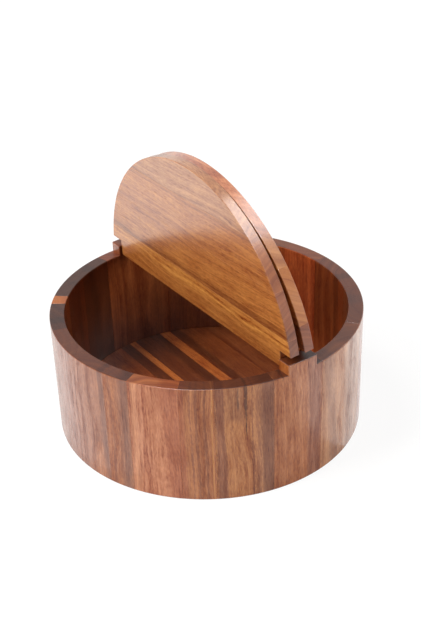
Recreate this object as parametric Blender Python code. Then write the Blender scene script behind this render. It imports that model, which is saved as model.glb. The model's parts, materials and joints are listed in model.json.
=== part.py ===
"""Round acacia storage box with two half-round flap lids.

The wall is a ring of glued upright staves, and the floor is a disc of glued strips let
into a rebate under it. Two ears rise from the rim, opposite each other. Each ear holds
two blind steel pins, and every lid turns on one pin at each end. Both lids stand open
and lean on each other, as in the photograph. A small magnet is let into each lid.

Metres, +Z up. The origin is the centre of the base, and the hinge axes run along X.
"""

import math

import bmesh
import bpy
from mathutils import Vector

# The box: outer sizes, wall and ears
BODY_DIAMETER = 0.230
BODY_HEIGHT = 0.100
WALL_THICKNESS = 0.011
EAR_WIDTH = 0.0243
BODY_EDGE_ROUND = 0.0008

# The floor: its upper face stands FLOOR_TOP above the table
FLOOR_TOP = 0.008
FLOOR_THICKNESS = 0.007
FLOOR_REBATE = 0.004

# The lids: two half discs, flush with the wall and with the top of the ears when shut
LID_THICKNESS = 0.0075
LID_EDGE_ROUND = 0.0012
LID_SPLIT = 0.0054
EAR_SIDE_CLEARANCE = 0.0031
EAR_END_CLEARANCE = 0.0005

# The hinges: each axis lies HINGE_OFFSET from the box's middle plane
HINGE_OFFSET = 0.0063
PIN_DIAMETER = 0.003
PIN_DEPTH_IN_EAR = 0.0075
PIN_DEPTH_IN_LID = 0.010
PIN_CLEARANCE = 0.0001
PIN_END_GAP = 0.0003
FRONT_LID_OPEN_DEG = 87.25

# The magnets, let flush into the lids' upper faces
MAGNET_DIAMETER = 0.006
MAGNET_THICKNESS = 0.003
MAGNET_INSET = 0.0205
MAGNET_CLEARANCE = 0.0001

# Clearances between pieces that rest on each other, and between glued pieces
SEAT_GAP = 0.0003
GLUE_LINE = 0.0002

# Joints between the staves, in degrees round from the ear at +X
STAVE_JOINTS_DEG = (
    8.8, 37, 65, 91, 117, 141, 163.5, 194, 211,
    227.5, 233.5, 253, 272, 288, 298, 316, 328, 348.5,
)
STAVE_SHADES = (
    "mid", "pale", "pink", "dark", "red", "mid", "dark", "red", "dark",
    "dark", "honey", "dark", "pale", "olive", "pink", "pink", "olive", "mid",
)

# Joints between the floor's strips, measured across it from the middle
FLOOR_JOINTS = (-0.078, -0.048, -0.0182, -0.009, -0.0035, 0.0195, 0.028, 0.055, 0.081)
FLOOR_SHADES = (
    "red", "dark", "red", "dark", "honey", "mid", "honey", "red", "dark", "mid",
)

# Joints between each lid's boards, measured from the box's middle plane
FRONT_LID_JOINTS = (0.027, 0.058, 0.089)
FRONT_LID_SHADES = ("honey", "tan", "pink", "tan")
REAR_LID_JOINTS = (0.034, 0.070, 0.088)
REAR_LID_SHADES = ("tan", "honey", "tan", "pink")
NARROWEST_STRIP = 0.005

# How finely round shapes are divided
RING_STEPS = 120
ROUND_SEGMENTS = 2
PIN_SIDES = 20
MAGNET_SIDES = 32
SMOOTH_BELOW_DEG = 35
CORNER_ABOVE_DEG = 60

# Sizes that follow from the ones above
OUTER_RADIUS = BODY_DIAMETER / 2
INNER_RADIUS = OUTER_RADIUS - WALL_THICKNESS
EAR_HEIGHT = SEAT_GAP + LID_THICKNESS
RIM_HEIGHT = BODY_HEIGHT - EAR_HEIGHT
LID_UNDERSIDE = RIM_HEIGHT + SEAT_GAP
HINGE_HEIGHT = LID_UNDERSIDE + LID_THICKNESS / 2
NOTCH_DEPTH = EAR_WIDTH / 2 + EAR_SIDE_CLEARANCE
TONGUE_HALF_LENGTH = math.sqrt(INNER_RADIUS**2 - (EAR_WIDTH / 2) ** 2) - EAR_END_CLEARANCE

SHADES = {
    "dark": "#5B3A2D",
    "mid": "#8A5940",
    "red": "#8C4A2C",
    "olive": "#8D6A50",
    "pink": "#A66E55",
    "pale": "#B98A70",
    "honey": "#B9763F",
    "tan": "#B47A52",
}
STEEL = "#B8B8B5"
NICKEL = "#D5D2CC"


def linear(hex_colour):
    """Turns an sRGB hex colour into the linear values that a shader takes."""
    channels = [int(hex_colour[i : i + 2], 16) / 255 for i in (1, 3, 5)]
    return [c / 12.92 if c <= 0.04045 else ((c + 0.055) / 1.055) ** 2.4 for c in channels]


def make_material(name, hex_colour, roughness, metallic):
    material = bpy.data.materials.new(name)
    material.use_nodes = True
    shader = material.node_tree.nodes["Principled BSDF"]
    shader.inputs["Base Color"].default_value = (*linear(hex_colour), 1)
    shader.inputs["Roughness"].default_value = roughness
    shader.inputs["Metallic"].default_value = metallic
    return material


def add_piece(name, bm, material, parent=None, location=(0, 0, 0)):
    """Turns a bmesh into a named object with smooth round faces and crisp edges."""
    bmesh.ops.recalc_face_normals(bm, faces=bm.faces)
    if bm.calc_volume(signed=True) < 0:
        bmesh.ops.reverse_faces(bm, faces=bm.faces)
    mesh = bpy.data.meshes.new(name)
    bm.to_mesh(mesh)
    bm.free()
    mesh.shade_smooth()
    mesh.set_sharp_from_angle(angle=math.radians(SMOOTH_BELOW_DEG))
    mesh.materials.append(material)
    piece = bpy.data.objects.new(name, mesh)
    piece.location = location
    piece.parent = parent
    bpy.context.scene.collection.objects.link(piece)
    return piece


def add_cutter(name, bm, parent=None, location=(0, 0, 0)):
    """Adds a shape that only cuts others, so it is hidden from the model."""
    material = make_material(name, STEEL, 0.5, 0)
    cutter = add_piece(name, bm, material, parent, location)
    cutter.hide_render = True
    cutter.display_type = "WIRE"
    return cutter


def cut(piece, cutter):
    modifier = piece.modifiers.new("cut by " + cutter.name, "BOOLEAN")
    modifier.operation = "DIFFERENCE"
    modifier.object = cutter
    modifier.solver = "EXACT"


def wood(name, shade):
    return make_material(name, SHADES[shade], 0.45, 0)


def slice_off(bm, point, normal):
    """Cuts the shape along a plane, drops the side the normal points to and caps it."""
    everything = bm.verts[:] + bm.edges[:] + bm.faces[:]
    result = bmesh.ops.bisect_plane(
        bm, geom=everything, dist=1e-7, plane_co=point, plane_no=normal, clear_outer=True
    )
    rims = [g for g in result["geom_cut"] if isinstance(g, bmesh.types.BMEdge)]
    bmesh.ops.edgeloop_fill(bm, edges=[edge for edge in rims if edge.is_boundary])


def rounded(bm, edges, radius):
    bmesh.ops.bevel(
        bm, geom=edges, offset=radius, segments=ROUND_SEGMENTS, profile=0.5, affect="EDGES"
    )


def cylinder(radius, start, end, sides, axis):
    """A round bar between two distances along X or Z, centred on that axis."""
    bm = bmesh.new()
    bmesh.ops.create_cone(
        bm, cap_ends=True, segments=sides, radius1=radius, radius2=radius, depth=end - start
    )
    bmesh.ops.translate(bm, verts=bm.verts, vec=(0, 0, (start + end) / 2))
    if axis == "X":
        for vert in bm.verts:
            vert.co = Vector((vert.co.z, vert.co.y, -vert.co.x))
    return bm


# The wall


def turned_ring():
    """The whole wall as one ring, up to the rim, with the floor's rebate inside."""
    shoulder = FLOOR_TOP + SEAT_GAP
    rebate_radius = INNER_RADIUS + FLOOR_REBATE
    profile = (
        (OUTER_RADIUS, 0),
        (OUTER_RADIUS, RIM_HEIGHT),
        (INNER_RADIUS, RIM_HEIGHT),
        (INNER_RADIUS, shoulder),
        (rebate_radius, shoulder),
        (rebate_radius, 0),
    )
    bm = bmesh.new()
    verts = [bm.verts.new((radius, 0, height)) for radius, height in profile]
    edges = [bm.edges.new((a, b)) for a, b in zip(verts, verts[1:] + verts[:1])]
    bmesh.ops.spin(
        bm,
        geom=verts + edges,
        cent=(0, 0, 0),
        axis=(0, 0, 1),
        angle=math.tau,
        steps=RING_STEPS,
        use_merge=True,
    )
    bmesh.ops.recalc_face_normals(bm, faces=bm.faces)
    return bm


def square_up_ear_sides(bm):
    """Moves the ring's stations beside the ears onto the ears' flat, parallel sides."""
    half = EAR_WIDTH / 2
    step = math.tau / RING_STEPS
    mean_radius = (OUTER_RADIUS + INNER_RADIUS) / 2
    beside = max(1, round(math.asin(half / mean_radius) / step))
    for vert in bm.verts:
        radius = math.hypot(vert.co.x, vert.co.y)
        from_axis = math.asin(min(1, abs(vert.co.y) / radius))
        if round(from_axis / step) == beside:
            vert.co.y = math.copysign(half, vert.co.y)
            vert.co.x = math.copysign(math.sqrt(radius**2 - half**2), vert.co.x)


def raise_ears(bm):
    """Extrudes the two ears up from the rim."""
    on_rim = RIM_HEIGHT - SEAT_GAP
    ear_faces = []
    for face in bm.faces:
        middle = face.calc_center_median()
        if face.normal.z > 0.9 and middle.z > on_rim and abs(middle.y) < EAR_WIDTH / 2:
            ear_faces.append(face)
    raised = bmesh.ops.extrude_face_region(bm, geom=ear_faces)["geom"]
    tops = [g for g in raised if isinstance(g, bmesh.types.BMVert)]
    bmesh.ops.translate(bm, verts=tops, vec=(0, 0, EAR_HEIGHT))
    bmesh.ops.delete(bm, geom=ear_faces, context="FACES")
    bmesh.ops.recalc_face_normals(bm, faces=bm.faces)


def soften_ring(bm):
    """Rounds the rim, the ears and the foot of the wall, but not the rebate."""
    shown = []
    for edge in bm.edges:
        if edge.calc_face_angle_signed(0) < math.radians(CORNER_ABOVE_DEG):
            continue
        middle = (edge.verts[0].co + edge.verts[1].co) / 2
        on_rim_or_ear = middle.z > RIM_HEIGHT - SEAT_GAP
        at_foot = middle.z < SEAT_GAP and middle.xy.length > OUTER_RADIUS - SEAT_GAP
        if on_rim_or_ear or at_foot:
            shown.append(edge)
    rounded(bm, shown, BODY_EDGE_ROUND)


def build_ring():
    bm = turned_ring()
    square_up_ear_sides(bm)
    raise_ears(bm)
    soften_ring(bm)
    return bm


def radial_plane(angle, side):
    """A plane through the box's axis at an angle, half a glue line to one side of it."""
    across = Vector((-math.sin(angle), math.cos(angle), 0)) * side
    return across * -GLUE_LINE / 2, across


def stave_name(start, end, number):
    if start < 0 < end:
        return "ear_stave_right"
    if start < math.pi < end:
        return "ear_stave_left"
    return f"wall_stave_{number:02d}"


def ear_face_x():
    """Where the ear's inner face lies at the hinge axis."""
    return math.sqrt(INNER_RADIUS**2 - HINGE_OFFSET**2)


def ear_hole_cutters():
    """The four blind holes in the ears, one for each pin."""
    cutters = []
    radius = PIN_DIAMETER / 2 + PIN_CLEARANCE
    inside_box = ear_face_x() - WALL_THICKNESS / 2
    bottom = ear_face_x() + PIN_DEPTH_IN_EAR
    for end, side_x in (("right", 1), ("left", -1)):
        for lid, side_y in (("front", -1), ("rear", 1)):
            low, high = sorted((inside_box * side_x, bottom * side_x))
            bm = cylinder(radius, low, high, PIN_SIDES, "X")
            place = (0, side_y * HINGE_OFFSET, HINGE_HEIGHT)
            cutters.append((end, add_cutter(f"{lid}_ear_hole_{end}", bm, None, place)))
    return cutters


def build_wall():
    """Slices the ring into its staves and drills the two that carry an ear."""
    ring = build_ring()
    cutters = ear_hole_cutters()
    joints = [math.radians(angle) for angle in STAVE_JOINTS_DEG]
    starts = [joints[-1] - math.tau] + joints[:-1]
    for number, (start, end, shade) in enumerate(zip(starts, joints, STAVE_SHADES), 1):
        bm = ring.copy()
        slice_off(bm, *radial_plane(end, 1))
        slice_off(bm, *radial_plane(start, -1))
        name = stave_name(start, end, number)
        stave = add_piece(name, bm, wood(name, shade))
        for side, cutter in cutters:
            if name.endswith(side):
                cut(stave, cutter)
    ring.free()


# The floor


def kept_joints(joints, limit):
    """The joints that lie inside a disc of the given radius."""
    return [joint for joint in joints if abs(joint) < limit - NARROWEST_STRIP]


def strip_bounds(joints, low, high):
    """Low and high limits of each strip between the joints."""
    return list(zip([low] + joints, joints + [high]))


def build_floor():
    """A disc of strips that run along X, under the shoulder of the wall's rebate."""
    radius = INNER_RADIUS + FLOOR_REBATE - SEAT_GAP
    joints = kept_joints(FLOOR_JOINTS, radius)
    bounds = strip_bounds(joints, -radius, radius)
    underside = FLOOR_TOP - FLOOR_THICKNESS
    for number, ((low, high), shade) in enumerate(zip(bounds, FLOOR_SHADES), 1):
        bm = cylinder(radius, underside, FLOOR_TOP, RING_STEPS, "Z")
        if low > -radius:
            slice_off(bm, (0, low + GLUE_LINE / 2, 0), (0, -1, 0))
        if high < radius:
            slice_off(bm, (0, high - GLUE_LINE / 2, 0), (0, 1, 0))
        name = f"floor_strip_{number:02d}"
        add_piece(name, bm, wood(name, shade))


# The lids, modelled shut, about their own hinge axis


def lid_outline():
    """Half a disc with a notch at each end of its straight edge, as (x, distance) points."""
    corner_x = math.sqrt(OUTER_RADIUS**2 - NOTCH_DEPTH**2)
    first = math.atan2(NOTCH_DEPTH, corner_x)
    steps = RING_STEPS // 2
    arc = [first + (math.pi - 2 * first) * i / steps for i in range(steps + 1)]
    points = [(-TONGUE_HALF_LENGTH, LID_SPLIT / 2), (TONGUE_HALF_LENGTH, LID_SPLIT / 2)]
    points.append((TONGUE_HALF_LENGTH, NOTCH_DEPTH))
    points += [(OUTER_RADIUS * math.cos(a), OUTER_RADIUS * math.sin(a)) for a in arc]
    points.append((-TONGUE_HALF_LENGTH, NOTCH_DEPTH))
    return points


def build_lid_blank(side):
    """A whole lid, on the side of the box that side says, with its edges rounded."""
    low = LID_UNDERSIDE - HINGE_HEIGHT
    bm = bmesh.new()
    verts = [bm.verts.new((x, side * (d - HINGE_OFFSET), low)) for x, d in lid_outline()]
    base = bm.faces.new(verts)
    top = bmesh.ops.extrude_face_region(bm, geom=[base], use_keep_orig=True)["geom"]
    top_verts = [g for g in top if isinstance(g, bmesh.types.BMVert)]
    bmesh.ops.translate(bm, verts=top_verts, vec=(0, 0, LID_THICKNESS))
    bmesh.ops.recalc_face_normals(bm, faces=bm.faces)
    edges = [edge for edge in bm.edges if abs(edge.verts[0].co.z - edge.verts[1].co.z) < SEAT_GAP]
    rounded(bm, edges, LID_EDGE_ROUND)
    return bm


def rear_lid_open_angle():
    """The angle at which the rear lid's upper face meets the tip of the front lid's."""
    reach = OUTER_RADIUS - LID_EDGE_ROUND - HINGE_OFFSET
    above_axis = LID_UNDERSIDE + LID_THICKNESS - HINGE_HEIGHT
    front_lean = math.radians(FRONT_LID_OPEN_DEG - 90)
    front_face = reach * math.sin(front_lean) + above_axis * math.cos(front_lean)
    span = 2 * HINGE_OFFSET - front_face - SEAT_GAP
    lean = math.asin(span / math.hypot(reach, above_axis)) - math.atan2(above_axis, reach)
    return math.pi / 2 + lean


def add_hinge(lid, side, opened):
    """An empty on the hinge axis, turned to the lid's open angle."""
    hinge = bpy.data.objects.new(f"{lid}_hinge", None)
    hinge.location = (0, side * HINGE_OFFSET, HINGE_HEIGHT)
    hinge.rotation_euler = (side * opened, 0, 0)
    bpy.context.scene.collection.objects.link(hinge)
    return hinge


def lid_cutters(lid, side, hinge):
    """The pin holes at both ends of a lid, and its magnet's pocket."""
    hole_radius = PIN_DIAMETER / 2 + PIN_CLEARANCE
    bottom = TONGUE_HALF_LENGTH - PIN_DEPTH_IN_LID
    beyond = TONGUE_HALF_LENGTH + PIN_DEPTH_IN_LID
    right = cylinder(hole_radius, bottom, beyond, PIN_SIDES, "X")
    left = cylinder(hole_radius, -beyond, -bottom, PIN_SIDES, "X")
    top = LID_THICKNESS / 2
    pocket = cylinder(
        MAGNET_DIAMETER / 2 + MAGNET_CLEARANCE,
        top - MAGNET_THICKNESS - MAGNET_CLEARANCE,
        top + MAGNET_THICKNESS,
        MAGNET_SIDES,
        "Z",
    )
    return (
        add_cutter(f"{lid}_lid_hole_right", right, hinge),
        add_cutter(f"{lid}_lid_hole_left", left, hinge),
        add_cutter(f"{lid}_magnet_pocket", pocket, hinge, magnet_place(side)),
    )


def magnet_place(side):
    """The magnet's centre line, measured from the hinge axis."""
    return (0, side * (OUTER_RADIUS - MAGNET_INSET - HINGE_OFFSET), 0)


def build_lid(lid, side, opened, joints, shades):
    """One lid's boards and magnet, on the empty at its hinge."""
    hinge = add_hinge(lid, side, opened)
    cutters = lid_cutters(lid, side, hinge)
    blank = build_lid_blank(side)
    bounds = strip_bounds(kept_joints(joints, OUTER_RADIUS), 0, OUTER_RADIUS)
    for number, ((low, high), shade) in enumerate(zip(bounds, shades), 1):
        bm = blank.copy()
        if low > 0:
            near = side * (low + GLUE_LINE / 2 - HINGE_OFFSET)
            slice_off(bm, (0, near, 0), (0, -side, 0))
        if high < OUTER_RADIUS:
            far = side * (high - GLUE_LINE / 2 - HINGE_OFFSET)
            slice_off(bm, (0, far, 0), (0, side, 0))
        name = f"{lid}_lid_board_{number}"
        board = add_piece(name, bm, wood(name, shade), hinge)
        for cutter in cutters:
            cut(board, cutter)
    blank.free()
    top = LID_THICKNESS / 2
    bm = cylinder(MAGNET_DIAMETER / 2, top - MAGNET_THICKNESS, top, MAGNET_SIDES, "Z")
    name = f"{lid}_lid_magnet"
    add_piece(name, bm, make_material(name, NICKEL, 0.3, 1), hinge, magnet_place(side))


def build_pins():
    """Four steel pins, fixed in the ears, on which the lids turn."""
    inner_end = TONGUE_HALF_LENGTH - PIN_DEPTH_IN_LID + PIN_END_GAP
    outer_end = ear_face_x() + PIN_DEPTH_IN_EAR - PIN_END_GAP
    for end, side_x in (("right", 1), ("left", -1)):
        for lid, side_y in (("front", -1), ("rear", 1)):
            low, high = sorted((inner_end * side_x, outer_end * side_x))
            bm = cylinder(PIN_DIAMETER / 2, low, high, PIN_SIDES, "X")
            name = f"{lid}_pin_{end}"
            place = (0, side_y * HINGE_OFFSET, HINGE_HEIGHT)
            add_piece(name, bm, make_material(name, STEEL, 0.3, 1), None, place)


def main():
    for item in list(bpy.data.objects):
        bpy.data.objects.remove(item, do_unlink=True)
    build_wall()
    build_floor()
    front_open = math.radians(FRONT_LID_OPEN_DEG)
    build_lid("front", -1, front_open, FRONT_LID_JOINTS, FRONT_LID_SHADES)
    build_lid("rear", 1, rear_lid_open_angle(), REAR_LID_JOINTS, REAR_LID_SHADES)
    build_pins()


main()
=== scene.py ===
"""Looks of a round acacia storage box with two half-round flap lids.

Every wooden piece is remade finer than its CAD solid, with its own acacia: solid wood whose
grain runs through the piece, so that its ends show end grain. Metres, +Z up.
"""

import json
import math
from collections import namedtuple

import bmesh
import bpy
from mathutils import Matrix, Vector


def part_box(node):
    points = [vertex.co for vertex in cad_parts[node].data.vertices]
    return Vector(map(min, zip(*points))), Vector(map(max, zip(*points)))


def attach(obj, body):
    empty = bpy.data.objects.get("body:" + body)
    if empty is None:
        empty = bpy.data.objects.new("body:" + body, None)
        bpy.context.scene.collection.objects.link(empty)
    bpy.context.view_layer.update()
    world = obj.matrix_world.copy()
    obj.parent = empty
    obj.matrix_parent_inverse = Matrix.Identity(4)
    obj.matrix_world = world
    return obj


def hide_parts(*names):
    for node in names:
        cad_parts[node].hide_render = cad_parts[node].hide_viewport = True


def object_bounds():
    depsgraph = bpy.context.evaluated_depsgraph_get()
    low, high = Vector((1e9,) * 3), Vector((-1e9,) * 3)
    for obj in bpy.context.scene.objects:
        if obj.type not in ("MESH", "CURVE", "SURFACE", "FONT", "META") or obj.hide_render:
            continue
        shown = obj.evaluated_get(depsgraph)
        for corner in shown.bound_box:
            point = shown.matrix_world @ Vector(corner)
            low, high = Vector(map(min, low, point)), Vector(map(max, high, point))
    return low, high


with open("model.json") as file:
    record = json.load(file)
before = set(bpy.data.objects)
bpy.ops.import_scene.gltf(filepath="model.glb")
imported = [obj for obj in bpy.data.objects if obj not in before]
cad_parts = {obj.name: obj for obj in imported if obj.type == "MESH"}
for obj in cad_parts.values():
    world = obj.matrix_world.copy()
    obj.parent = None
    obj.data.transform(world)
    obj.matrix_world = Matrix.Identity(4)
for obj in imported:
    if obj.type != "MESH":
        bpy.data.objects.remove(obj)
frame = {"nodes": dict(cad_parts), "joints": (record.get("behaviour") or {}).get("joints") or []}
cad_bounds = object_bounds()

MM = 0.001

# Sizes of the box, read from its solids
OUTER_RADIUS = cad_bounds[1].x
RIM_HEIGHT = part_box("wall_stave_04")[1].z
EAR_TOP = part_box("ear_stave_right")[1].z
FLOOR_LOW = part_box("floor_strip_05")[0].z
FLOOR_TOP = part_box("floor_strip_05")[1].z
FLOOR_RADIUS = -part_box("floor_strip_01")[0].y
PIN_RADIUS = (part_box("front_pin_right")[1].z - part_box("front_pin_right")[0].z) / 2

# Sizes that a solid's box doesn't show
WALL = 11 * MM
EAR_WIDTH = 24.3 * MM
SHOULDER_GAP = 0.3 * MM
FLOOR_REBATE = 4 * MM
LID_THICKNESS = 7.5 * MM
LID_SPLIT = 5.4 * MM
NOTCH_DEPTH = 15.25 * MM
TONGUE_END_GAP = 0.5 * MM
HOLE_CLEARANCE = 0.1 * MM
HOLE_END_GAP = 3 * HOLE_CLEARANCE
MAGNET_RADIUS = 3 * MM
MAGNET_THICKNESS = 3 * MM
MAGNET_INSET = 20.5 * MM
INNER_RADIUS = OUTER_RADIUS - WALL
TONGUE_HALF = math.sqrt(INNER_RADIUS**2 - (EAR_WIDTH / 2) ** 2) - TONGUE_END_GAP

# How the pieces are finished
CAD_GLUE_LINE = 0.2 * MM
GLUE_LINE = 0.06 * MM
JOINT_CHAMFER = 0.04 * MM
RIM_ROUND = 0.8 * MM
LID_ROUND = 0.5 * MM
MAGNET_ROUND = 0.2 * MM
PIN_ROUND = 0.25 * MM

# How finely round shapes are drawn, and which edges look or get rounded
ROUND_STEPS = 4
STEP_DEG = 1.0
PIN_SIDES = 32
MAGNET_SIDES = 48
SMOOTH_BELOW_DEG = 40
CORNER_ABOVE_DEG = 60

# How near a cut a point has to be, in metres, to lie on it
ON_THE_CUT = 1e-7

# The photograph's viewpoint
VIEW_AZIMUTH_DEG = 56.57
VIEW_ELEVATION_DEG = 32.23
VIEW_ROLL_DEG = 2.09
VIEW_DISTANCE = 0.88973
VIEW_AIM = Vector((0, 0, 0.05))
VIEW_LENS_MM = 67.25
VIEW_SHIFT = (0.0041, 0.0558)

# Helpers for nodes and meshes


def linear(hex_colour):
    """Turns an sRGB hex colour into linear red, green, blue and alpha."""
    channels = [int(hex_colour[i : i + 2], 16) / 255 for i in (1, 3, 5)]
    return [c / 12.92 if c <= 0.04045 else ((c + 0.055) / 1.055) ** 2.4 for c in channels] + [1]


def add(tree, kind, inputs=(), **settings):
    """Adds a node with its settings.

    inputs fill the sockets in use, in their order, or by name where they are a dict. Each is a
    plain value, or a node or an output to link.
    """
    node = tree.nodes.new(kind)
    for setting, value in settings.items():
        setattr(node, setting, value)
    sockets = [socket for socket in node.inputs if socket.enabled]
    by_name = {socket.name: socket for socket in sockets}
    for key, value in inputs.items() if isinstance(inputs, dict) else enumerate(inputs):
        socket = by_name[key] if isinstance(key, str) else sockets[key]
        if isinstance(value, bpy.types.Node):
            value = next(output for output in value.outputs if output.enabled)
        if isinstance(value, bpy.types.NodeSocket):
            tree.links.new(value, socket)
        else:
            socket.default_value = value
    return node


def finished(bm, name, material, body, node, cutters=()):
    """Makes a finished piece of a bmesh, with its holes, and lets it stand for its CAD node."""
    mesh = bpy.data.meshes.new(name)
    bm.to_mesh(mesh)
    bm.free()
    piece = bpy.data.objects.new(name, mesh)
    bpy.context.scene.collection.objects.link(piece)
    if cutters:
        bore(piece, cutters)
    piece.data.materials.clear()
    piece.data.materials.append(material)
    piece.data.shade_smooth()
    piece.data.set_sharp_from_angle(angle=math.radians(SMOOTH_BELOW_DEG))
    even = piece.modifiers.new("flat_faces_stay_flat", "WEIGHTED_NORMAL")
    even.keep_sharp = True
    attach(piece, body)
    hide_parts(node)


def bore(piece, cutters):
    """Cuts the cutters' shapes out of a piece for good."""
    for cutter in cutters:
        hole = piece.modifiers.new("hole", "BOOLEAN")
        hole.operation = "DIFFERENCE"
        hole.solver = "EXACT"
        hole.object = cutter
    bpy.context.view_layer.update()
    graph = bpy.context.evaluated_depsgraph_get()
    bored = bpy.data.meshes.new_from_object(piece.evaluated_get(graph))
    piece.modifiers.clear()
    piece.data = bored


def cap_ends(bm):
    """Closes the open ends, and gives their edges the tiny chamfer of a glued joint."""
    open_edges = [edge for edge in bm.edges if edge.is_boundary]
    caps = bmesh.ops.edgeloop_fill(bm, edges=open_edges)["faces"]
    bmesh.ops.recalc_face_normals(bm, faces=bm.faces)
    rims = list({edge for cap in caps for edge in cap.edges})
    bmesh.ops.bevel(
        bm, geom=rims, offset=JOINT_CHAMFER, segments=1, profile=0.5, affect="EDGES", material=-1
    )


def slice_off(bm, point, normal):
    """Cuts the shape along a plane and drops the side that the normal points to."""
    everything = bm.verts[:] + bm.edges[:] + bm.faces[:]
    bmesh.ops.bisect_plane(
        bm, geom=everything, dist=ON_THE_CUT, plane_co=point, plane_no=normal, clear_outer=True
    )


def round_over(bm, edges, radius):
    """Rounds edges over, as sanding does."""
    steps = ROUND_STEPS
    bmesh.ops.bevel(
        bm, geom=edges, offset=radius, segments=steps, profile=0.5, affect="EDGES", material=-1
    )


def crisp_edges(bm):
    """The edges of a bar's two ends."""
    crisp = math.radians(CORNER_ABOVE_DEG)
    return [edge for edge in bm.edges if edge.calc_face_angle(0) > crisp]


# The acacia

# Sizes of the grain's patterns in mm, across the fibres twice and then along them
WANDER_SIZE = (36, 36, 120)
WANDER_BY = 15.0
PORE_SIZE = (0.7, 0.7, 5)
SHELL_TAPER = 0.02

# Across and along the fibres in mm, the noise's detail, and the share in the wood's tone
FIBRES = (1.3, 26, 3, 0.75)
FLECKS = (0.9, 3.6, 2, 0.75)
FIGURE = (9, 20, 2, 0.5)

# What late and early wood multiply the wood's own colour by, and what a pore adds to that
LATE_WOOD = (0.42, 0.12, 0.0)
EARLY_WOOD = (1.58, 1.88, 2.0)
PORE_ADDS = (-0.13, -0.13, -0.13)

# The ranges of noise that are pores and that tone lies in, and of squareness to the grain
PORE_NOISE = (0.58, 0.72)
TONE_RANGE = (0.3, 0.7)
END_GRAIN = (0.3, 0.95)

# Satin lacquer on wood. The pores and the end grain add to the wood's roughness
WOOD_IOR = 1.45
WOOD_ROUGHNESS = 0.3
PORE_ROUGHNESS = 0.22
END_ROUGHNESS = 0.06
LACQUER_IOR = 1.5
LACQUER_ROUGHNESS = 0.2
PORE_DEPTH = 0.08 * MM
RELIEF_SHARE = 0.4

# How full the lacquer is, and the share of it that the end grain drinks
Lacquer = namedtuple("Lacquer", "film dry_ends")
WALL_LACQUER = Lacquer(0.55, 1.0)
FLOOR_LACQUER = Lacquer(0.1, 1.0)
LID_LACQUER = Lacquer(1.0, 0.5)

# How unevenly a thin film stands, for each share of a full one that it lacks
THIN_FILM_UNEVEN = 1.5

# A step through the tree for each piece, so that no two have the same grain
NEXT_PLACE = (37.1, 91.7, 53.3)

# How streaks lie in the grain, in mm, and the share of its wandering that they follow
NO_END = 999
STREAK_END_FADE = 6.0
STREAK_RAGGED = 2.2
STREAK_DRIFT = 0.4
THINNEST_FADE = 0.2

Streak = namedtuple("Streak", "at width colour amount soft lean taper low high")
Look = namedtuple("Look", "colour ends streaks pith slot")


def streak(
    at, width, colour, amount=0.8, soft=0.5, lean=0.0, taper=0.0, low=-NO_END, high=NO_END
):
    """A band of another colour along the grain, in mm.

    at is its place across the piece and width its width, both where the grain crosses the
    origin. lean and taper move and widen it for each mm along, low and high end it, and soft
    is the share of the width that fades.
    """
    return Streak(at, width, colour, amount, soft, lean, taper, low, high)


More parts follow.
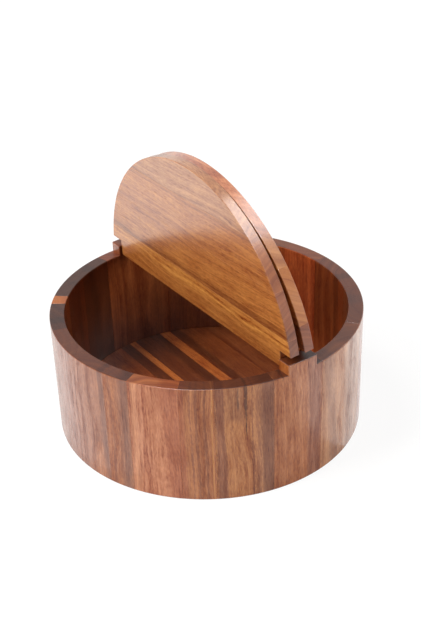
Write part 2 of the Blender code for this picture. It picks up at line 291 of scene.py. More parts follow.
def grain_group():
    """Acacia's grain in mm along Z: growth bands, fibres, figure and open pores."""
    group = bpy.data.node_groups.new("acacia_grain", "ShaderNodeTree")
    for name in ("Place", "Seed", "Pith"):
        group.interface.new_socket(name, in_out="INPUT", socket_type="NodeSocketVector")
    group.interface.new_socket("Ring", in_out="INPUT", socket_type="NodeSocketFloat")
    for name in ("Tone", "Growth", "Pores", "Relief"):
        group.interface.new_socket(name, in_out="OUTPUT", socket_type="NodeSocketFloat")
    group.interface.new_socket("Drift", in_out="OUTPUT", socket_type="NodeSocketVector")
    given = group.nodes.new("NodeGroupInput").outputs
    maths = "ShaderNodeMath"
    vector = "ShaderNodeVectorMath"
    texture = "ShaderNodeTexNoise"
    base = add(group, vector, [given["Place"], given["Seed"]], operation="ADD")

    # The grain wanders a few millimetres sideways over a hand's length
    slow = add(group, vector, [base, [1 / size for size in WANDER_SIZE]], operation="MULTIPLY")
    wander = add(group, texture, {"Vector": slow, "Scale": 1.0, "Detail": 2.0})
    centred = add(group, vector, [wander.outputs["Color"], (0.5, 0.5, 0.5)], operation="SUBTRACT")
    drift = add(group, vector, [centred, WANDER_BY], operation="SCALE")
    waved = add(group, vector, [base, drift], operation="ADD")

    # Growth bands are shells round the pith, 3 to 7 mm apart, with finer lines in them
    from_pith = add(group, vector, [given["Place"], given["Pith"]], operation="SUBTRACT")
    wandered = add(group, vector, [from_pith, drift], operation="ADD")
    level = add(group, vector, [wandered, (1, 1, SHELL_TAPER)], operation="MULTIPLY")
    distance = add(group, vector, [level], operation="LENGTH")
    rings = add(group, maths, [distance.outputs["Value"], given["Ring"]], operation="DIVIDE")
    layers = {"W": rings, "Scale": 1.0, "Detail": 4.0, "Roughness": 0.62}
    bands = add(group, texture, layers, noise_dimensions="1D")

    # Fibres are fine lines, flecks are short cut vessels, figure is the cross light of
    # interlocked grain. The finest are drawn at about 1 mm so that they show
    shares = [(bands, 1.0)]
    for across, along, detail, share in (FIBRES, FLECKS, FIGURE):
        scale = (1 / across, 1 / across, 1 / along)
        place = add(group, vector, [waved, scale], operation="MULTIPLY")
        pattern = add(group, texture, {"Vector": place, "Scale": 1.0, "Detail": detail})
        shares.append((pattern, share))
    tone = 0.5 - 0.5 * sum(share for _, share in shares)
    for pattern, share in shares:
        tone = add(group, maths, [pattern, share, tone], operation="MULTIPLY_ADD")

    # Pores are dark dashes 5 mm long, drawn about twice their real width of 0.3 mm
    place = add(group, vector, [waved, [1 / size for size in PORE_SIZE]], operation="MULTIPLY")
    dashes = add(group, texture, {"Vector": place, "Scale": 1.0, "Detail": 1.0})
    noise = [dashes, *PORE_NOISE]
    pores = add(group, "ShaderNodeMapRange", noise, interpolation_type="SMOOTHSTEP")

    # Sanding leaves the fibres half as high as the pores are deep
    fibres = shares[1][0]
    relief = add(group, maths, [fibres, 0.5, pores], operation="MULTIPLY_ADD")
    results = group.nodes.new("NodeGroupOutput").inputs
    found = {"Tone": tone, "Growth": bands, "Pores": pores, "Relief": relief, "Drift": drift}
    for name, node in found.items():
        group.links.new(node.outputs[0], results[name])
    return group


def streak_group():
    """How much of a streak shows at a place, with edges that follow the grain."""
    group = bpy.data.node_groups.new("streak_in_the_grain", "ShaderNodeTree")
    place = ["Across", "Along", "Tone"]
    shape = ["At", "Half", "Fade", "Lean", "Taper", "Low", "High", "Amount"]
    for name in place + shape:
        group.interface.new_socket(name, in_out="INPUT", socket_type="NodeSocketFloat")
    group.interface.new_socket("Share", in_out="OUTPUT", socket_type="NodeSocketFloat")
    given = group.nodes.new("NodeGroupInput").outputs
    maths = "ShaderNodeMath"
    ramp = "ShaderNodeMapRange"
    smooth = "SMOOTHSTEP"
    along = given["Along"]

    # The tone makes the sides ragged by a millimetre either way
    centre = add(group, maths, [along, given["Lean"], given["At"]], operation="MULTIPLY_ADD")
    beside = add(group, maths, [given["Across"], centre], operation="SUBTRACT")
    away = add(group, maths, [beside], operation="ABSOLUTE")
    ragged = add(group, maths, [given["Tone"], STREAK_RAGGED, away], operation="MULTIPLY_ADD")
    half = add(group, maths, [along, given["Taper"], given["Half"]], operation="MULTIPLY_ADD")
    edge = add(group, maths, [half, STREAK_RAGGED / 2], operation="ADD")
    inner = add(group, maths, [edge, given["Fade"]], operation="SUBTRACT")
    outer = add(group, maths, [edge, given["Fade"]], operation="ADD")
    side = add(group, ramp, [ragged, inner, outer, 1.0, 0.0], interpolation_type=smooth)

    # A streak that stops before the board does fades out there
    below = add(group, maths, [given["Low"], STREAK_END_FADE], operation="ADD")
    foot = add(group, ramp, [along, given["Low"], below], interpolation_type=smooth)
    above = add(group, maths, [given["High"], STREAK_END_FADE], operation="SUBTRACT")
    head = add(group, ramp, [along, above, given["High"], 1.0, 0.0], interpolation_type=smooth)
    ended = add(group, maths, [foot, head], operation="MULTIPLY")
    whole = add(group, maths, [side, ended], operation="MULTIPLY")
    share = add(group, maths, [whole, given["Amount"]], operation="MULTIPLY", use_clamp=True)
    group.links.new(share.outputs[0], group.nodes.new("NodeGroupOutput").inputs["Share"])
    return group


GRAIN = grain_group()
STREAK = streak_group()


def squareness(tree, normal, along):
    """How squarely a face cuts the grain, from 0 on a board's side to 1 on its end."""
    facing = add(tree, "ShaderNodeVectorMath", [normal, along], operation="DOT_PRODUCT")
    square = add(tree, "ShaderNodeMath", [facing.outputs["Value"]], operation="ABSOLUTE")
    given = [square, *END_GRAIN]
    return add(tree, "ShaderNodeMapRange", given, interpolation_type="SMOOTHSTEP")


def streaked_heartwood(tree, look, across, along, tone):
    """The wood's own colour, with its streaks laid over it."""
    face = add(tree, "ShaderNodeRGB")
    face.outputs[0].default_value = linear(look.colour)
    for item in look.streaks:
        fade = max(item.width * item.soft / 2, THINNEST_FADE)
        shape = [item.at, item.width / 2, fade, item.lean, item.taper, item.low, item.high]
        given = [across, along, tone, *shape, item.amount]
        laid = add(tree, "ShaderNodeGroup", given, node_tree=STREAK)
        face = add(tree, "ShaderNodeMix", [laid, face, linear(item.colour)], data_type="RGBA")
    return face


def shaded_by_growth(tree, look, face, cut, tone, pores):
    """Colour from dark, redder late wood to paler early wood, with dark pores and ends."""
    range_of_growth = [tone, (0.0, 0.0, 0.0), (1.0, 1.0, 1.0), LATE_WOOD, EARLY_WOOD]
    shade = add(tree, "ShaderNodeMapRange", range_of_growth, data_type="FLOAT_VECTOR")
    pored = add(tree, "ShaderNodeVectorMath", [pores, PORE_ADDS, shade], operation="MULTIPLY_ADD")
    side = add(tree, "ShaderNodeVectorMath", [face, pored], operation="MULTIPLY")
    duller = [dark / plain for dark, plain in zip(linear(look.ends)[:3], linear(look.colour))]
    ends = add(tree, "ShaderNodeVectorMath", [face, duller], operation="MULTIPLY")
    soaked = add(tree, "ShaderNodeVectorMath", [ends, shade], operation="MULTIPLY")
    return add(tree, "ShaderNodeMix", [cut, side, soaked], data_type="RGBA").outputs[2]


def spray_lacquer(tree, shader, cut, tone, pores, lacquer):
    """Satin lacquer, which sinks into end grain, and into dark late wood where it is thin."""
    open_pores = [pores, PORE_ROUGHNESS, WOOD_ROUGHNESS]
    gloss = add(tree, "ShaderNodeMath", open_pores, operation="MULTIPLY_ADD")
    dry_cut = [cut, END_ROUGHNESS * lacquer.dry_ends, gloss]
    matt = add(tree, "ShaderNodeMath", dry_cut, operation="MULTIPLY_ADD")
    tree.links.new(matt.outputs[0], shader.inputs["Roughness"])
    shader.inputs["IOR"].default_value = WOOD_IOR
    drunk = [cut, -lacquer.dry_ends * lacquer.film, lacquer.film]
    film = add(tree, "ShaderNodeMath", drunk, operation="MULTIPLY_ADD")
    uneven = THIN_FILM_UNEVEN * (1 - lacquer.film)
    sunk = add(tree, "ShaderNodeMapRange", [tone, *TONE_RANGE, 1 - uneven, 1 + uneven])
    coat = add(tree, "ShaderNodeMath", [film, sunk], operation="MULTIPLY", use_clamp=True)
    tree.links.new(coat.outputs[0], shader.inputs["Coat Weight"])
    shader.inputs["Coat Roughness"].default_value = LACQUER_ROUGHNESS
    shader.inputs["Coat IOR"].default_value = LACQUER_IOR


def lacquered_acacia(node, board, round_mm, look, ring_mm, seed, lacquer):
    """Sanded acacia under sprayed satin lacquer, for one piece.

    Acacia is a brown hardwood with darker streaks and open pores, which stay as fine dark
    dashes. The lacquer gives depth and a soft, slightly blurred reflection, but the end grain
    drinks it and is duller and darker. board turns the object's metres into the piece's own
    mm: depth, across, and along the grain. round_mm makes across an arc of that radius, and
    ring_mm is how far apart the growth bands are.
    """
    material = bpy.data.materials.new(f"lacquered_acacia_{node}")
    material.use_nodes = True
    tree = material.node_tree
    shader = tree.nodes["Principled BSDF"]
    coords = add(tree, "ShaderNodeTexCoord").outputs
    turn = board.to_3x3().normalized()
    placing = {"Vector": coords["Object"], "Scale": (1 / MM, 1 / MM, 1 / MM)}
    placing["Location"] = board.to_translation()
    placing["Rotation"] = turn.to_euler("XYZ")
    place = add(tree, "ShaderNodeMapping", placing)
    own_place = [step * seed for step in NEXT_PLACE]
    given = [place, own_place, (*look.pith, 0), ring_mm]
    grain = add(tree, "ShaderNodeGroup", given, node_tree=GRAIN).outputs
    axes = add(tree, "ShaderNodeSeparateXYZ", [place]).outputs
    drift = add(tree, "ShaderNodeSeparateXYZ", [grain["Drift"]]).outputs
    across = axes["Y"]
    if round_mm:
        angle = add(tree, "ShaderNodeMath", [axes["Y"], axes["X"]], operation="ARCTAN2")
        across = add(tree, "ShaderNodeMath", [angle, round_mm], operation="MULTIPLY")
    loosely = [drift["Y"], STREAK_DRIFT, across]
    across = add(tree, "ShaderNodeMath", loosely, operation="MULTIPLY_ADD")
    face = streaked_heartwood(tree, look, across, axes["Z"], grain["Tone"])

    # Faces cut across the grain show the growth bands alone
    cut = squareness(tree, coords["Normal"], turn.row[2])
    tone = add(tree, "ShaderNodeMix", [cut, grain["Tone"], grain["Growth"]])
    skin = shaded_by_growth(tree, look, face, cut, tone, grain["Pores"])
    tree.links.new(skin, shader.inputs["Base Color"])
    spray_lacquer(tree, shader, cut, tone, grain["Pores"], lacquer)
    relief = {"Height": grain["Relief"], "Strength": RELIEF_SHARE, "Distance": PORE_DEPTH}
    bump = add(tree, "ShaderNodeBump", relief, invert=True)
    tree.links.new(bump.outputs[0], shader.inputs["Normal"])
    return material


# Acacia's tones under their common colour names. Straw is a line of sapwood, ebony is the
# darkest heartwood, and smoke is heartwood that light has greyed
STRAW = "#B67838"
COPPER = "#B8582C"
AMBER = "#A05424"
ROSE = "#A0603C"
TOFFEE = "#945828"
FAWN = "#905C36"
HAZEL = "#8A4C20"
CINNAMON = "#88421E"
CHESTNUT = "#784020"
RUSSET = "#6E3618"
UMBER = "#5C2A12"
WALNUT = "#48200C"
EBONY = "#341608"
SMOKE = "#5A382E"


# The wall

# For each piece its colour, the colour of its end grain, its streaks, the place of the tree's
# heart in mm from its outside and its middle, and its finish in the record
STAVES = {
    "ear_stave_right": Look(
        HAZEL,
        WALNUT,
        [streak(-13.3, 1.8, WALNUT, 0.75, 0.3, low=88), streak(13, 12, RUSSET, 0.8, 0.4)],
        (38, 30),
        "acacia_mid",
    ),
    "wall_stave_02": Look(
        FAWN,
        RUSSET,
        [streak(-12, 11, UMBER, 0.5, lean=-0.1), streak(10, 20, SMOKE, 0.4)],
        (40, -20),
        "acacia_pale",
    ),
    "wall_stave_03": Look(
        CHESTNUT,
        UMBER,
        [streak(8, 14, SMOKE, 0.5)],
        (30, 12),
        "acacia_pink",
    ),
    "wall_stave_04": Look(
        CINNAMON,
        UMBER,
        [streak(-9, 8, UMBER, 0.6)],
        (36, -30),
        "acacia_dark",
    ),
    "wall_stave_05": Look(
        COPPER,
        RUSSET,
        [streak(15, 9, AMBER, 0.5)],
        (45, 20),
        "acacia_red",
    ),
    "wall_stave_06": Look(
        CHESTNUT,
        UMBER,
        [streak(-6, 7, WALNUT, 0.6)],
        (38, -12),
        "acacia_mid",
    ),
    "wall_stave_07": Look(
        UMBER,
        WALNUT,
        [streak(4, 10, RUSSET, 0.6)],
        (42, 25),
        "acacia_dark",
    ),
    "ear_stave_left": Look(
        RUSSET,
        UMBER,
        [streak(-20, 10, WALNUT, 0.3)],
        (40, -30),
        "acacia_red",
    ),
    "wall_stave_09": Look(
        WALNUT,
        EBONY,
        [streak(3, 9, EBONY, 0.6)],
        (35, 15),
        "acacia_dark",
    ),
    "wall_stave_10": Look(
        UMBER,
        EBONY,
        [streak(-6, 6, WALNUT, 0.5)],
        (40, -25),
        "acacia_dark",
    ),
    "wall_stave_11": Look(HAZEL, HAZEL, [], (30, 5), "acacia_honey"),
    "wall_stave_12": Look(
        RUSSET,
        EBONY,
        [streak(6, 9, WALNUT, 0.6)],
        (36, 28),
        "acacia_dark",
    ),
    "wall_stave_13": Look(
        RUSSET,
        WALNUT,
        [streak(3, 3, CHESTNUT, 0.6), streak(16, 5, CHESTNUT, 0.6)],
        (42, -14),
        "acacia_pale",
    ),
    "wall_stave_14": Look(
        CHESTNUT,
        WALNUT,
        [
            streak(-9, 3, RUSSET, 0.25),
            streak(0, 4, RUSSET, 0.3),
            streak(13.2, 5, UMBER, 0.85),
            streak(7, 17, HAZEL, 0.7, taper=-0.22, low=-50, high=34),
        ],
        (38, 22),
        "acacia_olive",
    ),
    "wall_stave_15": Look(
        HAZEL,
        WALNUT,
        [
            streak(6.3, 9, UMBER, 0.85, 1.1),
            streak(-5, 2, CHESTNUT, 0.6),
            streak(2.5, 2, CHESTNUT, 0.6),
        ],
        (34, -24),
        "acacia_pink",
    ),
    "wall_stave_16": Look(
        ROSE,
        CHESTNUT,
        [streak(-14, 7, HAZEL, 0.5, 0.8), streak(17, 15, CINNAMON, 0.8, lean=-0.05)],
        (44, 16),
        "acacia_pink",
    ),
    "wall_stave_17": Look(
        HAZEL,
        WALNUT,
        [
            streak(-11, 5, CINNAMON, 0.7),
            streak(-4, 1.8, RUSSET, 0.7),
            streak(0, 1.8, RUSSET, 0.6),
            streak(6, 1.8, RUSSET, 0.6),
            streak(10.9, 1.2, STRAW, 0.5, 0.4),
        ],
        (36, -18),
        "acacia_olive",
    ),
    "wall_stave_18": Look(
        TOFFEE,
        WALNUT,
        [
            streak(-17, 7, RUSSET, 0.8, 0.3),
            streak(-4.5, 1.6, EBONY, 0.7, 0.8, low=72, high=94),
            streak(0.6, -2.6, EBONY, 0.7, 0.8, taper=0.022, low=50, high=140),
            streak(-5.5, 15, UMBER, 0.4, 0.9, low=62, high=140),
            streak(4.6, 1.4, RUSSET, 0.7),
            streak(8, 4, RUSSET, 0.5, 0.8),
            streak(16, 13, UMBER, 0.8, 0.6),
        ],
        (40, 30),
        "acacia_mid",
    ),
}


def stave_span(node):
    """The directions of a stave's two joints, read from its solid."""
    points = [vert.co for vert in frame["nodes"][node].data.vertices]
    low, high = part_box(node)
    middle = math.atan2(low.y + high.y, low.x + high.x)
    turned = Matrix.Rotation(-middle, 3, "Z")
    outer = [turned @ point for point in points if point.xy.length > OUTER_RADIUS - WALL / 4]
    angles = [math.atan2(point.y, point.x) for point in outer]
    inset = (CAD_GLUE_LINE - GLUE_LINE) / 2 / OUTER_RADIUS
    return middle + min(angles) - inset, middle + max(angles) + inset


def turned_wall(stops):
    """The wall's section, with the rebate that holds the floor, turned from stop to stop."""
    shoulder = FLOOR_TOP + SHOULDER_GAP
    rebate = INNER_RADIUS + FLOOR_REBATE
    corners = (
        (OUTER_RADIUS, 0),
        (OUTER_RADIUS, RIM_HEIGHT),
        (INNER_RADIUS, RIM_HEIGHT),
        (INNER_RADIUS, shoulder),
        (rebate, shoulder),
        (rebate, 0),
    )
    bm = bmesh.new()
    start = Matrix.Rotation(stops[0], 3, "Z")
    verts = [bm.verts.new(start @ Vector((radius, 0, height))) for radius, height in corners]
    last = verts + [bm.edges.new(pair) for pair in zip(verts, verts[1:] + verts[:1])]
    for low, high in zip(stops, stops[1:]):
        steps = max(1, round(math.degrees(high - low) / STEP_DEG))
        spun = bmesh.ops.spin(
            bm, geom=last, axis=(0, 0, 1), angle=high - low, steps=steps, use_merge=False
        )
        last = spun["geom_last"]
    bmesh.ops.recalc_face_normals(bm, faces=bm.faces)
    return bm


def raise_ear(bm, middle, beside):
    """Squares the ear's sides and extrudes it up from the rim."""
    turned = Matrix.Rotation(-middle, 3, "Z")
    back = turned.inverted()
    half = EAR_WIDTH / 2
    for vert in bm.verts:
        place = turned @ vert.co
        if abs(abs(math.atan2(place.y, place.x)) - beside) < math.radians(STEP_DEG / 4):
            radius = place.xy.length
            place.y = math.copysign(half, place.y)
            place.x = math.sqrt(radius**2 - half**2)
            vert.co = back @ place
    top = []
    for face in bm.faces:
        place = turned @ face.calc_center_median()
        if place.z > RIM_HEIGHT - RIM_ROUND / 4 and abs(place.y) < half:
            top.append(face)
    raised = bmesh.ops.extrude_face_region(bm, geom=top)["geom"]
    lifted = [item for item in raised if isinstance(item, bmesh.types.BMVert)]
    bmesh.ops.translate(bm, verts=lifted, vec=(0, 0, EAR_TOP - RIM_HEIGHT))
    bmesh.ops.delete(bm, geom=top, context="FACES")
    bmesh.ops.recalc_face_normals(bm, faces=bm.faces)


def soften_wall(bm):
    """Rounds the rim, the ear and the outside of the foot."""
    corner = math.radians(CORNER_ABOVE_DEG)
    edges = []
    for edge in bm.edges:
        if len(edge.link_faces) < 2 or edge.calc_face_angle_signed(0) < corner:
            continue
        middle = (edge.verts[0].co + edge.verts[1].co) / 2
        foot = middle.z < RIM_ROUND and middle.xy.length > OUTER_RADIUS - RIM_ROUND
        if foot or middle.z > RIM_HEIGHT - RIM_ROUND:
            edges.append(edge)
    round_over(bm, edges, RIM_ROUND)


def build_stave(node, seed):
    """Turns one stave, raises its ear if it carries one, and lacquers it."""
    start, end = stave_span(node)
    stops = [start, end]
    if node.startswith("ear"):
        middle = 0 if node.endswith("right") else math.pi
        mean_radius = (OUTER_RADIUS + INNER_RADIUS) / 2
        beside = math.asin(EAR_WIDTH / 2 / mean_radius)
        stops = [start, middle - beside, middle + beside, end]
    bm = turned_wall(stops)
    if node.startswith("ear"):
        raise_ear(bm, middle, beside)
    soften_wall(bm)
    cap_ends(bm)
    board = Matrix.Rotation(-(start + end) / 2, 4, "Z")
    look = STAVES[node]
    look = look._replace(pith=(OUTER_RADIUS / MM + look.pith[0], look.pith[1]))
    ring_mm = 4 + seed % 4
    wood = lacquered_acacia(node, board, OUTER_RADIUS / MM, look, ring_mm, seed, WALL_LACQUER)
    finished(bm, f"{node}_turned", wood, "box", node)


# The floor

# A flat board's depth is down, its width is along Y and its grain along X
FLAT_BOARD = Matrix(((0, 0, -1, 0), (0, 1, 0, 0), (1, 0, 0, 0), (0, 0, 0, 1)))

# Streaks are placed by their Y in mm, and the tree's heart by its depth under the base and Y
FLOOR_STRIPS = {
    "floor_strip_01": Look(CHESTNUT, UMBER, [], (40, -70), "acacia_red"),
    "floor_strip_02": Look(UMBER, WALNUT, [], (30, -90), "acacia_dark"),
    "floor_strip_03": Look(CINNAMON, RUSSET, [], (44, -10), "acacia_red"),
    "floor_strip_04": Look(UMBER, WALNUT, [], (30, -40), "acacia_dark"),
    "floor_strip_05": Look(AMBER, CINNAMON, [], (50, 10), "acacia_honey"),
    "floor_strip_06": Look(
        UMBER,
        WALNUT,
        [streak(15, 10, WALNUT, 0.7)],
        (36, 30),
        "acacia_mid",
    ),
    "floor_strip_07": Look(AMBER, CINNAMON, [], (48, 5), "acacia_honey"),
    "floor_strip_08": Look(
        RUSSET,
        UMBER,
        [streak(33, 6, WALNUT, 0.7)],
        (34, 60),
        "acacia_red",
    ),
    "floor_strip_09": Look(
        UMBER,
        WALNUT,
        [streak(62, 9, CHESTNUT, 0.5)],
        (38, 40),
        "acacia_dark",
    ),
    "floor_strip_10": Look(RUSSET, UMBER, [], (42, 110), "acacia_mid"),
}


def build_floor_strip(node, seed):
    """Cuts one strip out of the round floor and lacquers it thinly."""
    low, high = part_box(node)
    bm = round_bar(FLOOR_RADIUS, FLOOR_LOW, FLOOR_TOP, round(360 / STEP_DEG))
    widen = (CAD_GLUE_LINE - GLUE_LINE) / 2
    if low.y > widen - FLOOR_RADIUS:
        slice_off(bm, (0, low.y - widen, 0), (0, -1, 0))
    if high.y < FLOOR_RADIUS - widen:
        slice_off(bm, (0, high.y + widen, 0), (0, 1, 0))
    cap_ends(bm)
    look = FLOOR_STRIPS[node]
    wood = lacquered_acacia(node, FLAT_BOARD, 0, look, 3 + seed % 3, seed, FLOOR_LACQUER)
    finished(bm, f"{node}_planed", wood, "box", node)


# The lids

# Streaks are placed by their Y in mm with the lid shut, and the tree's heart by its depth from
# the lid's upper face and its Y
LID_BOARDS = {
    "front_lid_board_1": Look(
        TOFFEE,
        UMBER,
        [streak(-22, 8, STRAW, 0.6, 0.7)],
        (-34, 44),
        "acacia_honey",
    ),
    "front_lid_board_2": Look(
        TOFFEE,
        CHESTNUT,
        [streak(-29.8, 6, UMBER, 0.5, 1.0)],
        (-26, 30),
        "acacia_tan",
    ),
    "front_lid_board_3": Look(
        TOFFEE,
        CHESTNUT,
        [streak(-87, 4, RUSSET, 0.45)],
        (-30, 12),
        "acacia_pink",
    ),
    "front_lid_board_4": Look(FAWN, RUSSET, [], (-34, -24), "acacia_tan"),
    # The rear lid's first two boards, which face the gap between the open lids, are darker: partly
    # their own tone, partly painted shade that makes the gap dark
    "rear_lid_board_1": Look(RUSSET, RUSSET, [], (-30, -40), "acacia_tan"),
    "rear_lid_board_2": Look(HAZEL, TOFFEE, [], (-32, -20), "acacia_honey"),
    "rear_lid_board_3": Look(TOFFEE, FAWN, [], (-28, 10), "acacia_tan"),
    "rear_lid_board_4": Look(ROSE, UMBER, [], (-34, 20), "acacia_pink"),
}


def hinge_of(body):
    """The joint that a lid turns on."""
    return next(joint for joint in frame["joints"] if joint["child"] == body)


def shutting_turn(body):
    """Turns an open lid, as it stands at rest, into its shut place."""
    hinge = hinge_of(body)
    centre = Matrix.Translation(hinge["pos_m"])
    turn = Matrix.Rotation(math.radians(hinge["range_deg"][1]), 4, Vector(hinge["axis"]))
    return centre @ turn @ centre.inverted()


def lid_blank(side, underside):
    """A whole lid, shut: half a disc with a notch round each ear, its edges rounded over."""
    bm = bmesh.new()
    corner = Vector((math.sqrt(OUTER_RADIUS**2 - NOTCH_DEPTH**2), NOTCH_DEPTH, 0))
    turn = math.pi - 2 * math.atan2(corner.y, corner.x)
    first = bm.verts.new(corner)
    steps = round(math.degrees(turn) / STEP_DEG)
    arc = bmesh.ops.spin(bm, geom=[first], axis=(0, 0, 1), angle=turn, steps=steps, use_merge=False)
    last = next(item for item in arc["geom_last"] if isinstance(item, bmesh.types.BMVert))
    notches = ((-TONGUE_HALF, NOTCH_DEPTH), (-TONGUE_HALF, LID_SPLIT / 2))
    notches += ((TONGUE_HALF, LID_SPLIT / 2), (TONGUE_HALF, NOTCH_DEPTH))
    for x, y in notches:
        corner = bm.verts.new((x, y, 0))
        bm.edges.new((last, corner))
        last = corner
    bm.edges.new((last, first))
    face = bmesh.ops.edgeloop_fill(bm, edges=bm.edges)["faces"]
    raised = bmesh.ops.extrude_face_region(bm, geom=face, use_keep_orig=True)["geom"]
    lifted = [item for item in raised if isinstance(item, bmesh.types.BMVert)]
    bmesh.ops.translate(bm, verts=lifted, vec=(0, 0, LID_THICKNESS))
    level = [e for e in bm.edges if abs(e.verts[0].co.z - e.verts[1].co.z) < LID_THICKNESS / 4]
    round_over(bm, level, LID_ROUND)
    bmesh.ops.scale(bm, verts=bm.verts, vec=(1, side, 1))
    bmesh.ops.translate(bm, verts=bm.verts, vec=(0, 0, underside))
    bmesh.ops.recalc_face_normals(bm, faces=bm.faces)
    return bm


def round_bar(radius, low, high, sides):
    """A closed round bar along Z."""
    bm = bmesh.new()
    bmesh.ops.create_cone(
        bm, cap_ends=True, segments=sides, radius1=radius, radius2=radius, depth=high - low
    )
    bmesh.ops.translate(bm, verts=bm.verts, vec=(0, 0, (low + high) / 2))
    return bm


def pin_bar(node, clearance, beyond):
    """A round bar where a pin lies, wider and longer by what its hole needs."""
    low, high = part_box(node)
    middle = (low + high) / 2
    bm = round_bar(PIN_RADIUS + clearance, low.x - beyond, high.x + beyond, PIN_SIDES)
    bmesh.ops.rotate(bm, verts=bm.verts, matrix=Matrix.Rotation(math.pi / 2, 3, "Y"))
    bmesh.ops.translate(bm, verts=bm.verts, vec=(0, middle.y, middle.z))
    return bm


def magnet_bar(side, opened, low, high, radius):
    """A round bar where a lid's magnet lies."""
    bm = round_bar(radius, low, high, MAGNET_SIDES)
    bmesh.ops.translate(bm, verts=bm.verts, vec=(0, side * (OUTER_RADIUS - MAGNET_INSET), 0))
    bmesh.ops.transform(bm, matrix=opened, verts=bm.verts)
    return bm


def cutter_of(bm, name):
    """A shape that bores a hole, taken away once it has."""
    mesh = bpy.data.meshes.new(name)
    bm.to_mesh(mesh)
    bm.free()
    cutter = bpy.data.objects.new(name, mesh)
    bpy.context.scene.collection.objects.link(cutter)
    return cutter


def pin_hole(lid, end):
    """The hole for a lid's pin at one of its ends."""
    hole = pin_bar(f"{lid}_pin_{end}", HOLE_CLEARANCE, HOLE_END_GAP)
    return cutter_of(hole, f"{lid}_{end}_hole")


def build_lid(lid, side):
    """Saws a lid's boards out of its blank, bores them, and sets the magnet in."""
    body = f"{lid}_lid"
    shut = shutting_turn(body)
    opened = shut.inverted()
    underside = hinge_of(body)["pos_m"][2] - LID_THICKNESS / 2
    top = underside + LID_THICKNESS
    cutters = [pin_hole(lid, end) for end in ("left", "right")]
    pocket_floor = top - MAGNET_THICKNESS - HOLE_CLEARANCE
    pocket_radius = MAGNET_RADIUS + HOLE_CLEARANCE
    pocket = magnet_bar(side, opened, pocket_floor, top + LID_ROUND, pocket_radius)
    cutters.append(cutter_of(pocket, f"{lid}_magnet_pocket"))
    blank = lid_blank(side, underside)
    board = FLAT_BOARD @ Matrix.Scale(1 / MM, 4) @ shut @ Matrix.Scale(MM, 4)
    nodes = sorted(node for node in LID_BOARDS if node.startswith(body))
    widen = (CAD_GLUE_LINE - GLUE_LINE) / 2
    for number, node in enumerate(nodes):
        reach = [side * (shut @ vert.co).y for vert in frame["nodes"][node].data.vertices]
        bm = blank.copy()
        if node != nodes[0]:
            slice_off(bm, (0, side * (min(reach) - widen), 0), (0, -side, 0))
        if node != nodes[-1]:
            slice_off(bm, (0, side * (max(reach) + widen), 0), (0, side, 0))
        cap_ends(bm)
        bmesh.ops.transform(bm, matrix=opened, verts=bm.verts)
        look = LID_BOARDS[node]
        look = look._replace(pith=(look.pith[0] - top / MM, look.pith[1]))
        seed = (40 if side < 0 else 50) + number
        wood = lacquered_acacia(node, board, 0, look, 3 + number % 3, seed, LID_LACQUER)
        finished(bm, f"{node}_planed", wood, body, node, cutters)
    blank.free()
    for cutter in cutters:
        bpy.data.objects.remove(cutter)
    magnet = magnet_bar(side, opened, top - MAGNET_THICKNESS, top, MAGNET_RADIUS)
    round_over(magnet, crisp_edges(magnet), MAGNET_ROUND)
    finished(magnet, f"{body}_magnet_plated", NICKEL, body, f"{body}_magnet")


# The metal parts

NICKEL_ROUGHNESS = (0.18, 0.36)
STEEL_ROUGHNESS = (0.25, 0.45)

# Real marks are a few hundredths of a millimetre across, and are drawn coarser so that they show
RUBBING_MARK = 0.6 * MM
DIE_LINE = 0.3 * MM
DIE_LINE_LENGTH = 10 * MM


def nickel_plate():
    """Nickel plate on a magnet: bright, warm white metal with fine rubbing marks."""
    material = bpy.data.materials.new("nickel_plate")
    material.use_nodes = True
    tree = material.node_tree
    shader = tree.nodes["Principled BSDF"]
    place = add(tree, "ShaderNodeTexCoord").outputs["Object"]
    rubbing = {"Vector": place, "Scale": 1 / RUBBING_MARK, "Detail": 3.0}
    marks = add(tree, "ShaderNodeTexNoise", rubbing)
    rubbed = add(tree, "ShaderNodeMapRange", [marks, 0.3, 0.7, *NICKEL_ROUGHNESS])
    shader.inputs["Base Color"].default_value = linear("#D5D2CC")
    shader.inputs["Metallic"].default_value = 1
    tree.links.new(rubbed.outputs[0], shader.inputs["Roughness"])
    return material


def drawn_steel():
    """Drawn steel rod: grey metal with fine lines along it from the die."""
    material = bpy.data.materials.new("drawn_steel")
    material.use_nodes = True
    tree = material.node_tree
    shader = tree.nodes["Principled BSDF"]
    place = add(tree, "ShaderNodeTexCoord").outputs["Object"]
    line_scale = (1 / DIE_LINE_LENGTH, 1 / DIE_LINE, 1 / DIE_LINE)
    lines = add(tree, "ShaderNodeMapping", {"Vector": place, "Scale": line_scale})
    marks = add(tree, "ShaderNodeTexNoise", {"Vector": lines, "Scale": 1.0, "Detail": 2.0})
    drawn = add(tree, "ShaderNodeMapRange", [marks, 0.3, 0.7, *STEEL_ROUGHNESS])
    shader.inputs["Base Color"].default_value = linear("#B8B8B5")
    shader.inputs["Metallic"].default_value = 1
    tree.links.new(drawn.outputs[0], shader.inputs["Roughness"])
    return material


NICKEL = nickel_plate()
STEEL = drawn_steel()


def build_pin(node):
    """Cuts one hinge pin to length and takes the burr off its ends."""
    bm = pin_bar(node, 0, 0)
    round_over(bm, crisp_edges(bm), PIN_ROUND)
    finished(bm, f"{node}_drawn", STEEL, "box", node)


# The studio

# Sizes in metres. The table lies a hair below the box's foot, and the cards a hair above it
TABLE_HALF = 6
TABLE_BELOW = 0.2 * MM
CARD_HEIGHT = 0.5 * MM

# The table's own shading shows a little near the box and fades to plain white further out
SHADOW_NEAR = 0.4
SHADOW_FAR = 1.6
WHITE_NEAR = 0.84
PAPER_WHITE = 1.08


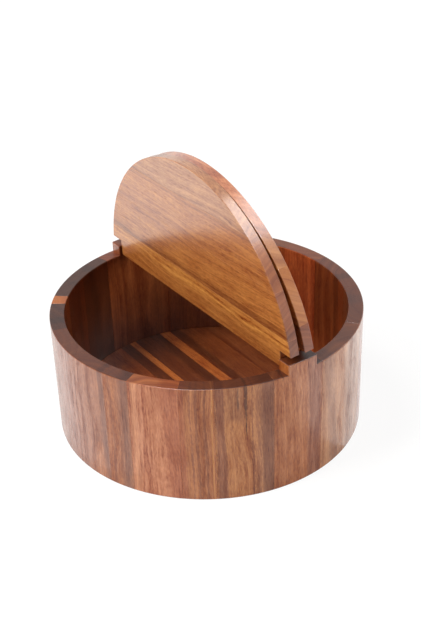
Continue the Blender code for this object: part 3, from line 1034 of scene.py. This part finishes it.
def strength(tree, seen, mirrored, lighting):
    """How strong the surroundings are where they are seen, in a reflection, and as light."""
    path = add(tree, "ShaderNodeLightPath").outputs
    glossy = [path["Is Glossy Ray"], path["Is Transmission Ray"]]
    shown = add(tree, "ShaderNodeMath", glossy, operation="MAXIMUM")
    unseen = add(tree, "ShaderNodeMix", [shown, lighting, mirrored])
    return add(tree, "ShaderNodeMix", [path["Is Camera Ray"], unseen, seen]).outputs[0]


def white_room():
    """Soft light from all round, and plain white where the room is seen."""
    world = bpy.data.worlds.new("white_room")
    bpy.context.scene.world = world
    world.use_nodes = True
    tree = world.node_tree
    background = tree.nodes["Background"]
    background.inputs["Color"].default_value = (1, 1, 1, 1)
    share = strength(tree, seen=1.0, mirrored=1.0, lighting=0.15)
    tree.links.new(share, background.inputs["Strength"])


def pale_table():
    """A wide pale table that keeps the box's soft shadow and is white where it is seen."""
    bm = bmesh.new()
    bmesh.ops.create_grid(bm, x_segments=1, y_segments=1, size=TABLE_HALF)
    bmesh.ops.translate(bm, verts=bm.verts, vec=(0, 0, -TABLE_BELOW))
    mesh = bpy.data.meshes.new("table")
    bm.to_mesh(mesh)
    bm.free()
    table = bpy.data.objects.new("table", mesh)
    bpy.context.scene.collection.objects.link(table)
    paper = bpy.data.materials.new("matt_white_paper")
    paper.use_nodes = True
    tree = paper.node_tree
    tree.nodes.remove(tree.nodes["Principled BSDF"])
    lit = add(tree, "ShaderNodeBsdfDiffuse", {"Color": linear("#DAD9D6")})
    plain = add(tree, "ShaderNodeEmission", {"Color": (1, 1, 1, 1), "Strength": PAPER_WHITE})
    place = add(tree, "ShaderNodeTexCoord").outputs["Object"]
    away = add(tree, "ShaderNodeVectorMath", [place], operation="LENGTH").outputs["Value"]
    fading = [away, SHADOW_NEAR, SHADOW_FAR, WHITE_NEAR, 1.0]
    whiteness = add(tree, "ShaderNodeMapRange", fading)
    share = strength(tree, seen=whiteness, mirrored=0.36, lighting=0.0)
    either = add(tree, "ShaderNodeMixShader", [share, lit, plain])
    tree.links.new(either.outputs[0], tree.nodes["Material Output"].inputs["Surface"])
    mesh.materials.append(paper)


def glowing(name, place, size, brightness, lights):
    """A plain lit rectangle, which lights the box or else only shows in its lacquer."""
    light = bpy.data.lights.new(name, "AREA")
    light.shape = "RECTANGLE"
    light.size, light.size_y = size
    light.energy = brightness * math.pi * size[0] * size[1]
    lamp = bpy.data.objects.new(name, light)
    lamp.location = place
    lamp.visible_camera = False
    lamp.visible_diffuse = lights
    lamp.visible_glossy = not lights
    bpy.context.scene.collection.objects.link(lamp)
    return lamp


def soft_box(name, place, size, brightness, lights):
    """A studio soft box that faces the box."""
    lamp = glowing(name, place, (size, size), brightness, lights)
    lamp.rotation_euler = (VIEW_AIM - Vector(place)).to_track_quat("-Z", "Y").to_euler()


def white_card(name, x, y, size, brightness):
    """A bright card that lies on the table beside the box and shows in its lacquer."""
    card = glowing(name, (x, y, CARD_HEIGHT), size, brightness, lights=False)
    card.rotation_euler = (math.pi, 0, 0)


def add_camera():
    """The camera, fitted to the rims, the foot and the ears in the photograph."""
    azimuth = math.radians(VIEW_AZIMUTH_DEG)
    elevation = math.radians(VIEW_ELEVATION_DEG)
    level = Vector((math.sin(azimuth), -math.cos(azimuth), 0))
    back = level * math.cos(elevation) + Vector((0, 0, math.sin(elevation)))
    upright = back.to_track_quat("Z", "Y").to_matrix()
    turn = upright @ Matrix.Rotation(math.radians(-VIEW_ROLL_DEG), 3, "Z")
    camera = bpy.data.objects.new("camera", bpy.data.cameras.new("camera"))
    camera.matrix_world = Matrix.Translation(VIEW_AIM + back * VIEW_DISTANCE) @ turn.to_4x4()
    camera.data.lens = VIEW_LENS_MM
    camera.data.shift_x, camera.data.shift_y = VIEW_SHIFT
    bpy.context.scene.collection.objects.link(camera)
    bpy.context.scene.camera = camera


for number, name in enumerate(STAVES, 1):
    build_stave(name, number)
for number, name in enumerate(FLOOR_STRIPS, 21):
    build_floor_strip(name, number)
build_lid("front", -1)
build_lid("rear", 1)
for name in ("front_pin_right", "front_pin_left", "rear_pin_right", "rear_pin_left"):
    build_pin(name)

white_room()
pale_table()

# Place and size in metres, and the brightness of the lit face
soft_box("front_light", (-0.35, -1.45, 1.35), 0.9, 20.5, lights=True)
soft_box("top_light", (-0.45, -0.55, 1.6), 0.6, 14.0, lights=True)
soft_box("right_light", (1.4, 0.8, 0.45), 0.6, 18.5, lights=True)
soft_box("front_glow", (0.40, -0.72, 1.30), 0.5, 40.0, lights=False)
soft_box("rear_glow", (0.30, 0.99, 1.43), 1.0, 7.8, lights=False)
white_card("front_card", -0.30, -0.40, (0.75, 0.56), 0.34)
white_card("rear_card", 0.10, 0.43, (1.2, 0.76), 0.52)
add_camera()
bpy.context.scene.view_settings.view_transform = "Standard"
